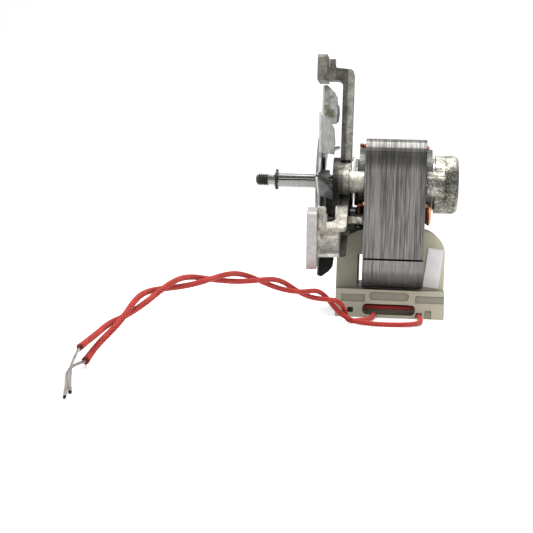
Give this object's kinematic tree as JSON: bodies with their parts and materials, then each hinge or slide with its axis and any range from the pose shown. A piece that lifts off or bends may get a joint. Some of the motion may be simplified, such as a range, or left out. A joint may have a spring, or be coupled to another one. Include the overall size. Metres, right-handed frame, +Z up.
{
  "type": "fan motor",
  "caption": "Shaded-pole motor with a cooling fan, a cast bracket with mounting feet, a coil on a moulded bobbin and twisted leads.",
  "frame": {"origin": "on the surface the motor stands on, under the middle of the motor's bounding box without its leads", "axes": "+X along the shaft from its threaded nose to the bearing cup, +Y away from the terminal box, +Z up"},
  "size_m": [0.1164, 0.3048, 0.1101],
  "materials": {
    "laminations": "fine edges of stacked sheets, satin",
    "casting": "rough cast",
    "steel": "ground",
    "dark_steel": "blued",
    "aluminium": "satin",
    "copper": "bright copper",
    "bronze": "sintered, oiled",
    "moulding": "moulded, satin",
    "tape": "black tape",
    "label": "paper, matt",
    "nylon": "moulded",
    "felt": "oiled felt",
    "sleeve": "red braided sleeve",
    "tinned_wire": "tinned strands"
  },
  "bodies": {
    "stator": {"stator_core": "laminations", "coil_core": "laminations", "shading_ring_1": "copper", "shading_ring_2": "copper", "bobbin": "moulding", "terminal_box": "moulding", "coil_winding": "copper", "coil_tape": "tape", "terminal_pin_a": "steel", "terminal_pin_b": "steel", "thermal_fuse": "nylon", "rating_label": "label", "front_bracket": "casting", "rear_bracket": "casting", "front_bearing": "bronze", "rear_bearing": "bronze", "front_felt": "felt", "rear_felt": "felt", "front_retainer": "steel", "rear_retainer": "steel", "bracket_screw_near": "steel", "bracket_screw_far": "steel", "lead_a": "sleeve", "lead_b": "sleeve", "lead_inside_box": "sleeve", "conductor_a": "tinned_wire", "conductor_b": "tinned_wire"},
    "rotor": {"shaft": "steel", "e_clip": "dark_steel", "rotor_core": "laminations", "rotor_cage": "aluminium", "cooling_fan": "aluminium", "fan_bush": "steel", "front_thrust_washer": "nylon", "rear_thrust_washer": "nylon"}
  },
  "joints": [
    {"name": "rotor_spin", "type": "hinge", "parent": "stator", "child": "rotor", "pos_m": [0, 0, 0.0562], "axis": [1, 0, 0], "continuous": true}
  ]
}
